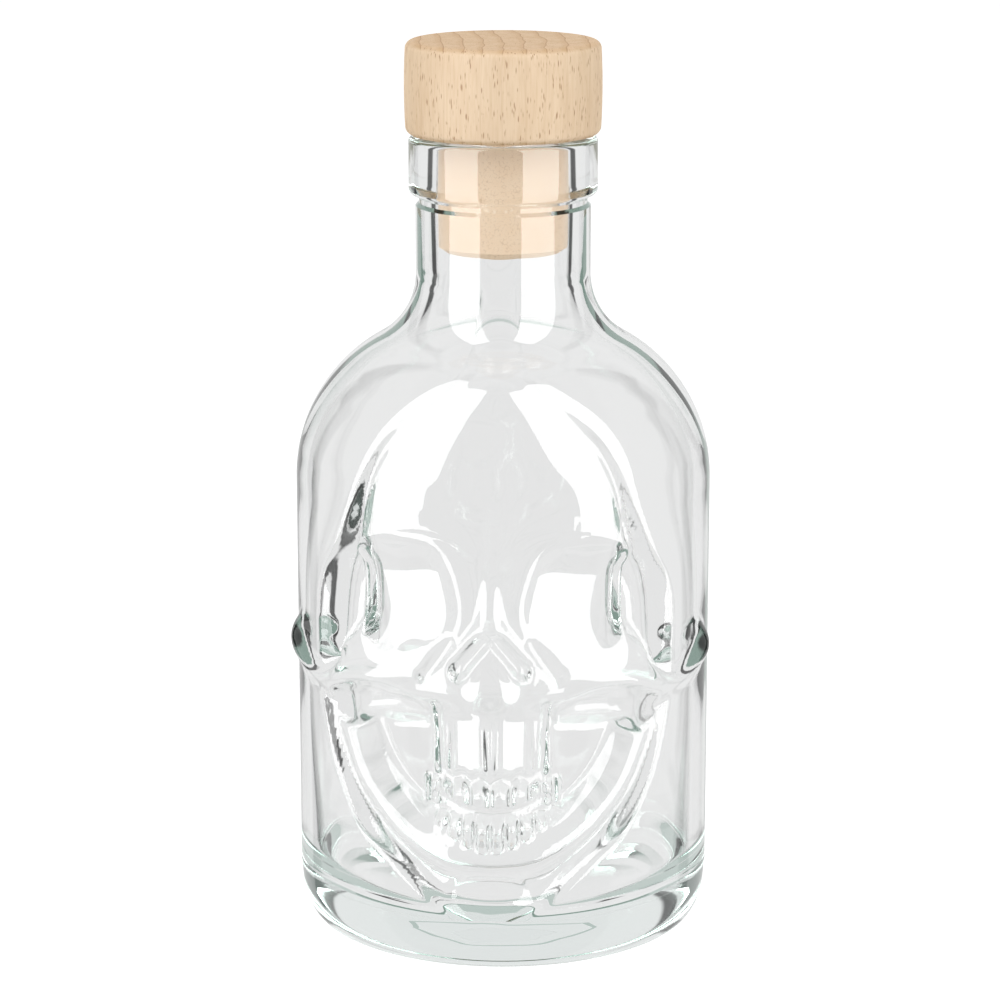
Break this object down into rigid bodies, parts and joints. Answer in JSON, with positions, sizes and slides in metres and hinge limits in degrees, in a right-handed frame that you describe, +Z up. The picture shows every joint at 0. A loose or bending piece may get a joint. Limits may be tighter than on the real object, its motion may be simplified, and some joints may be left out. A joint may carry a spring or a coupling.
{
  "type": "bottle",
  "caption": "Clear glass bottle with a skull moulded into its front, a short neck and a lift-out stopper with a turned wooden head.",
  "frame": {"origin": "centre of the base, on the surface the bottle stands on", "axes": "+Z up along the bottle's axis, -Y towards the skull's face, +X to the viewer's right when facing the skull"},
  "size_m": [0.0628, 0.0619, 0.133],
  "materials": {
    "bottle_glass": "clear moulded glass, faintly green where it is thick",
    "stopper_wood": "bare turned beech",
    "stopper_plug": "smooth beige closure plug",
    "stopper_glue": "set glue"
  },
  "bodies": {
    "bottle": {"bottle_glass": "bottle_glass"},
    "stopper_bond": {"stopper_glue": "stopper_glue"},
    "stopper": {"stopper_head": "stopper_wood", "stopper_plug": "stopper_plug"}
  },
  "joints": [
    {"name": "stopper_lift", "type": "slide", "parent": "bottle", "child": "stopper_bond", "axis": [0, 0, 1], "range_m": [0, 0.04]},
    {"name": "stopper_twist", "type": "hinge", "parent": "stopper_bond", "child": "stopper", "pos_m": [0, 0, 0.119], "axis": [0, 0, 1], "continuous": true}
  ]
}
